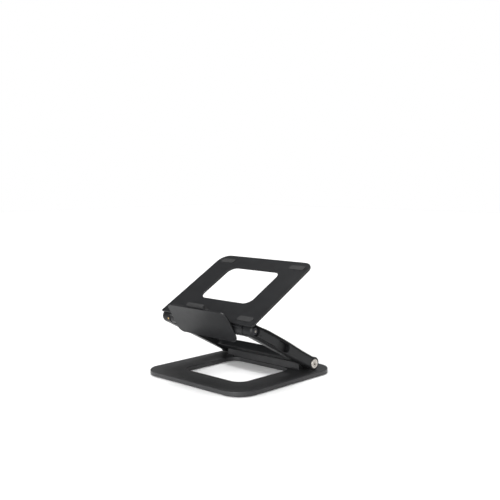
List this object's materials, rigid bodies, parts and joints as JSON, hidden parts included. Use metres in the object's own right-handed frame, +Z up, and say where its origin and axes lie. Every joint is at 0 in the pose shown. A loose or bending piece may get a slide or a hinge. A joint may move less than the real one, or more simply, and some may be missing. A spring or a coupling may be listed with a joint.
{
  "type": "laptop stand",
  "caption": "Folding desktop laptop stand: ring-shaped base, arm casting on a rear hinge, and a tilting tray with a front stop panel and soft lip.",
  "frame": {"origin": "on the table under the middle of the base ring", "axes": "+X to the right seen from the front, +Y towards the rear hinge, +Z up; the user sits on the -Y side"},
  "size_m": [0.249, 0.254, 0.2041],
  "materials": {
    "base_coating": "satin black powder coat",
    "arm_coating": "satin black anodised casting",
    "cover_coating": "satin black anodised, slightly lighter",
    "tray_coating": "satin black anodised sheet",
    "rubber": "matte",
    "bright_steel": "turned and polished",
    "dark_steel": "blackened",
    "pin_black": "black oxide",
    "bush_polymer": "bearing polymer",
    "brass": "turned"
  },
  "bodies": {
    "base": {"base_plate": "base_coating", "foot_front_left": "rubber", "foot_front_right": "rubber", "foot_rear_left": "rubber", "foot_rear_right": "rubber", "hinge_block": "base_coating", "hinge_block_screw_1": "dark_steel", "hinge_block_screw_2": "dark_steel", "hinge_block_screw_3": "dark_steel", "hinge_block_screw_4": "dark_steel", "lower_shaft_left": "bright_steel", "lower_shaft_right": "bright_steel", "lower_spring_washer_inner_left": "dark_steel", "lower_spring_washer_inner_right": "dark_steel", "lower_spring_washer_outer_left": "dark_steel", "lower_spring_washer_outer_right": "dark_steel"},
    "arm": {"arm_frame": "arm_coating", "lower_bush_left": "bush_polymer", "lower_bush_right": "bush_polymer", "lower_cap_left": "bright_steel", "lower_cap_right": "bright_steel", "side_cover_left": "cover_coating", "side_cover_right": "cover_coating", "cover_rivet_left": "cover_coating", "cover_rivet_right": "cover_coating", "tension_screw": "brass", "upper_pin_left": "pin_black", "upper_pin_right": "pin_black", "upper_pin_screw_left": "bright_steel", "upper_pin_screw_right": "bright_steel"},
    "tray": {"tray_plate": "tray_coating", "tray_block": "tray_coating", "upper_bush_left": "bush_polymer", "upper_bush_right": "bush_polymer", "front_panel": "tray_coating", "lip_pad": "rubber", "tray_pad_front_left": "rubber", "tray_pad_front_right": "rubber", "tray_pad_rear_left": "rubber", "tray_pad_rear_right": "rubber", "tray_screw_1": "dark_steel", "tray_screw_2": "dark_steel", "tray_screw_3": "dark_steel", "tray_screw_4": "dark_steel", "panel_screw_1": "dark_steel", "panel_screw_2": "dark_steel", "panel_screw_3": "dark_steel"}
  },
  "joints": [
    {"name": "arm_lift", "type": "hinge", "parent": "base", "child": "arm", "pos_m": [0, 0.0766, 0.0225], "axis": [-1, 0, 0], "range_deg": [-23, 50]},
    {"name": "tray_tilt", "type": "hinge", "parent": "arm", "child": "tray", "pos_m": [0, -0.0765, 0.1034], "axis": [1, 0, 0], "range_deg": [-51.5, 45]}
  ]
}
